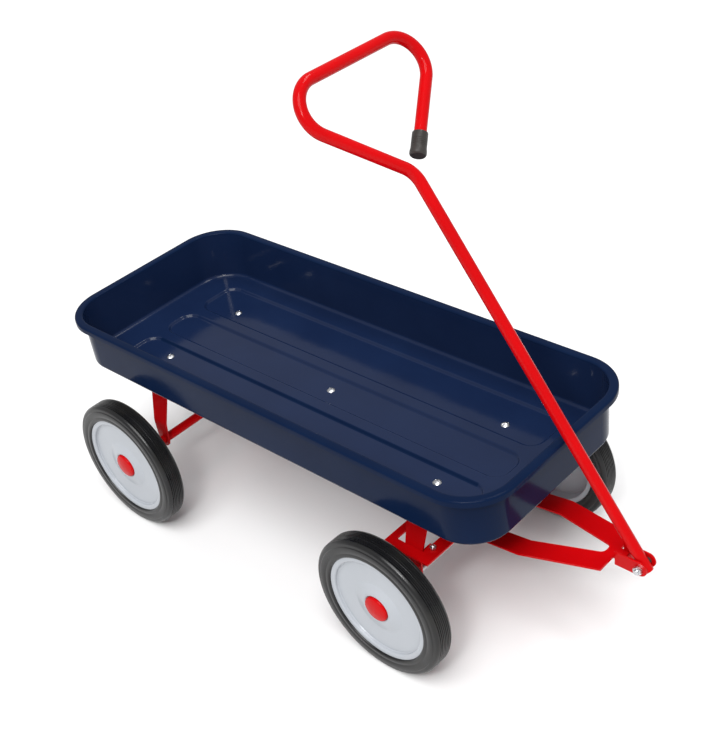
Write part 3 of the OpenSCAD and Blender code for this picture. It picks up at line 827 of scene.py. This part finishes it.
HUB_R = 13.0
DISC_MIDDLE = [(HUB_R + 0.1, 5), (22.8, 5), (23.7, 5.9), (23.7, 14.3), (24.8, 15.4), (27.6, 15.4),
               (30, 14.8), (46, 10.4)]
BACK_MIDDLE = [(HUB_R + 0.1, 9), (28, 9), (31, 8), (43, -5), (46, -7.6)]
DISC_WEB = 10.0
BACK_WEB = -8.4
CAP_SKIRT = 22.2


def cap_section():
    dome = [(CAP_SKIRT, 7.5), (CAP_SKIRT, 16.0)]
    dome += arc(CAP_SKIRT - 3.2, 16.0, 3.2, 12, 78, 6)
    dome += [(15.5, 20.0), (12.0, 20.6), (9.0, 20.95), (6.0, 21.2), (3.0, 21.35), (0.0, 21.4)]
    shell = strip(dome, 1.2)
    return [(0.0 if abs(r) < 0.2 else r, z) for r, z in shell]


for end in ENDS:
    middle = WHEEL[end]
    out = (0, 1 if middle.y > 0 else -1, 0)
    body = "wheel_" + end
    seen_as("tyre_" + end, "tyre_ribbed_" + end,
            placed(lathe(tyre_section(), 160), middle, out), body, "tyre_rubber", RUBBER,
            sharp=60.0)
    seen_as("wheel_disc_" + end, "wheel_disc_rolled_" + end,
            placed(lathe(strip(rim_path(DISC_MIDDLE, DISC_WEB), DISC_T), 160), middle, out),
            body, "wheel_paint", WHITE, sharp=45.0)
    seen_as("wheel_back_" + end, "wheel_back_rolled_" + end,
            placed(lathe([(r, -h) for r, h in strip(rim_path(BACK_MIDDLE, BACK_WEB), DISC_T)], 160),
                   middle, out), body, "wheel_paint", WHITE, sharp=45.0)
    seen_as("hub_cap_" + end, "hub_cap_domed_" + end,
            placed(lathe(cap_section(), 96), middle, out), body, "red_paint", RED, sharp=50.0)

KEPT = {"rear_axle": STEEL, "front_axle": STEEL, "front_axle_spacers": STEEL,
        "rear_axle_tube": RED, "rear_axle_washers": ZINC, "front_axle_washers": ZINC,
        "rear_axle_push_nuts": ZINC, "front_axle_push_nuts": ZINC, "kingpin_washer": ZINC,
        "turntable_washer": PLASTIC, "hinge_bush": PLASTIC}
KEPT.update({"hub_" + end: STEEL for end in ENDS})
for node, material in KEPT.items():
    mesh = frame["nodes"][node].data
    mesh.materials.clear()
    mesh.materials.append(material)


# ---------------------------------------------------------------- floor, light and camera

def flat(name, half, z, material):
    corners = [(-half, -half, z), (half, -half, z), (half, half, z), (-half, half, z)]
    obj = new_object(name, corners, [(0, 1, 2, 3)])
    obj.data.materials.append(material)
    return obj


paper, nodes, links, bsdf, place = shader("pale_floor", (0.86, 0.86, 0.86), 0.85, level=0.2)
fibre = noise(nodes, links, place, 9.0, 4.0)
links.new(tint(nodes, links, fibre, (0.85, 0.85, 0.85), (0.87, 0.87, 0.87)),
          bsdf.inputs["Base Color"])
flat("studio_floor", 12000.0, 0.0, paper)

world = bpy.data.worlds.new("studio")
SCENE.world = world
world.use_nodes = True
sky = world.node_tree.nodes["Background"]
sky.inputs["Color"].default_value = (1, 1, 1, 1)
sky.inputs["Strength"].default_value = 0.55


def softbox(name, place, target, size, power):
    data = bpy.data.lights.new(name, "AREA")
    data.shape = "RECTANGLE"
    data.size, data.size_y = size
    data.energy = power
    obj = bpy.data.objects.new(name, data)
    SCENE.collection.objects.link(obj)
    obj.location = place
    obj.rotation_mode = "QUATERNION"
    obj.rotation_quaternion = (Vector(target) - Vector(place)).to_track_quat("-Z", "Y")


def sun(name, towards, strength, spread_deg):
    data = bpy.data.lights.new(name, "SUN")
    data.energy = strength
    data.angle = math.radians(spread_deg)
    obj = bpy.data.objects.new(name, data)
    SCENE.collection.objects.link(obj)
    obj.rotation_mode = "QUATERNION"
    obj.rotation_quaternion = Vector(towards).to_track_quat("-Z", "Y")


sun("broad", (-0.25, 0.40, -0.88), 2.4, 40.0)
softbox("key", (1.3, -2.1, 2.6), (0.0, 0.0, 0.2), (0.5, 0.35), 26)
softbox("top", (0.2, 0.9, 2.8), (0.0, 0.0, 0.3), (1.2, 0.5), 16)

# The camera stands ahead of the wagon on its right, level with the grip and looking down.
EYE_FROM_KING = Vector((1070.17, -1197.34, 1563.12))
LOOK = Vector((2.095002617714789, 0.7382480366240128, -0.5517189278237539))
FOCAL_MM = 62.546


def camera():
    data = bpy.data.cameras.new("Camera")
    data.sensor_width = 36.0
    data.lens = FOCAL_MM
    data.clip_end = 50.0
    obj = bpy.data.objects.new("Camera", data)
    SCENE.collection.objects.link(obj)
    turn = Matrix.Rotation(LOOK.length, 3, LOOK.normalized())
    flip = Matrix(((1, 0, 0), (0, -1, 0), (0, 0, -1)))
    place = (EYE_FROM_KING + Vector((KING_X, 0, 0))) * MM
    obj.matrix_world = Matrix.Translation(place) @ (flip @ turn).transposed().to_4x4()
    SCENE.camera = obj


camera()
SCENE.view_settings.view_transform = "Standard"
